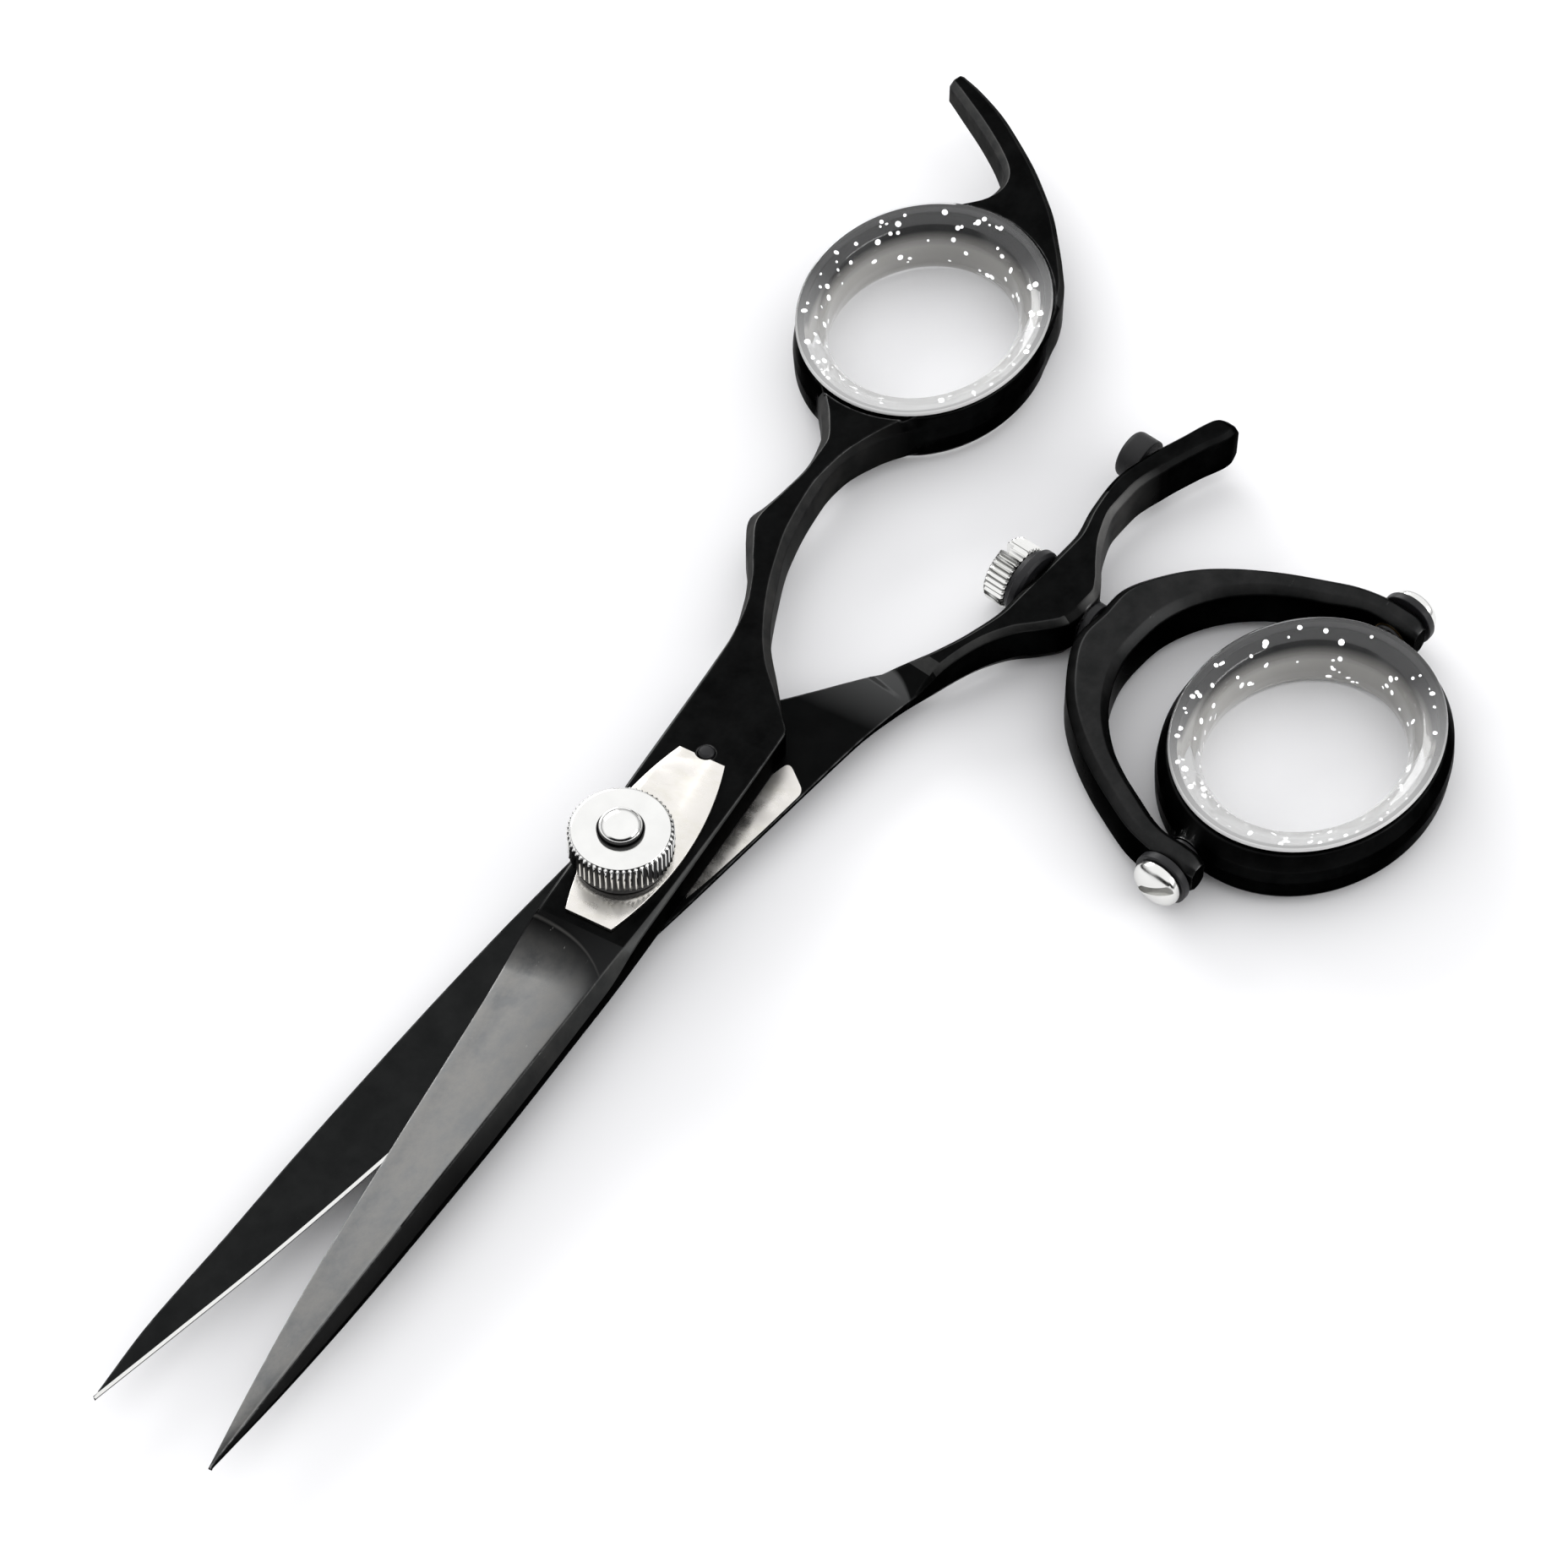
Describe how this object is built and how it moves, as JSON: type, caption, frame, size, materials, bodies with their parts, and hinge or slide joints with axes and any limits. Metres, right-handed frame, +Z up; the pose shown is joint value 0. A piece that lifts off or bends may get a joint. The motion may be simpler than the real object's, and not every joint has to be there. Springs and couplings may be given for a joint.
{
  "type": "hair cutting shears",
  "caption": "Hair cutting shears with a swivelling, flipping thumb ring, a screw-dial pivot, clear finger inserts and a little-finger rest.",
  "frame": {"origin": "on the pivot axis, at the flat underside of the pivot bolt's head, on the plane the shears lie on", "axes": "+X runs to the tip of the upper, finger-side blade, +Y towards the thumb ring, +Z up along the pivot axis towards the tension dial"},
  "size_m": [0.1652, 0.0782, 0.0126],
  "materials": {
    "black_coating": "satin black coating on forged stainless steel",
    "polished_steel": "mirror polish",
    "spring_steel": "plain spring steel",
    "dark_steel": "blackened steel",
    "bronze": "plain bearing bronze",
    "black_plastic": "matt black acetal",
    "black_rubber": "soft black rubber",
    "clear_plastic": "clear soft plastic with small bright flakes in it"
  },
  "bodies": {
    "finger_side": {"finger_half": "black_coating", "pivot_bolt": "polished_steel", "leaf_plate": "polished_steel", "plate_pin": "dark_steel", "click_washer": "dark_steel", "finger_insert": "clear_plastic"},
    "thumb_side": {"thumb_half": "black_coating", "pivot_bushing": "bronze", "bearing_washer": "black_plastic", "hub_bushing": "black_plastic", "bumper": "black_rubber", "bumper_stud": "spring_steel"},
    "dial": {"tension_dial": "polished_steel"},
    "yoke_body": {"yoke": "black_coating", "yoke_screw": "polished_steel", "hub_washer": "black_plastic", "yoke_spacer": "black_plastic", "arm_bushing_left": "bronze", "arm_bushing_right": "bronze"},
    "thumb_ring_body": {"thumb_ring": "black_coating", "thumb_insert": "clear_plastic", "ring_screw_left": "polished_steel", "ring_screw_right": "polished_steel", "ring_washer_left": "black_plastic", "ring_washer_right": "black_plastic", "ring_spacer_left": "black_plastic", "ring_spacer_right": "black_plastic"}
  },
  "joints": [
    {"name": "blade_pivot", "type": "hinge", "parent": "finger_side", "child": "thumb_side", "pos_m": [0, 0, 0.0035], "axis": [0, 0, 1], "range_deg": [-50, 9.6]},
    {"name": "dial_turn", "type": "hinge", "parent": "finger_side", "child": "dial", "pos_m": [0, 0, 0.0095], "axis": [0, 0, 1], "range_deg": [-180, 180]},
    {"name": "yoke_swivel", "type": "hinge", "parent": "thumb_side", "child": "yoke_body", "pos_m": [-0.04541, 0.02425, 0.00355], "axis": [0.1776, 0.9841, 0], "continuous": true},
    {"name": "ring_flip", "type": "hinge", "parent": "yoke_body", "child": "thumb_ring_body", "pos_m": [-0.0417, 0.04482, 0.00355], "axis": [0.9841, -0.1776, 0], "continuous": true}
  ]
}
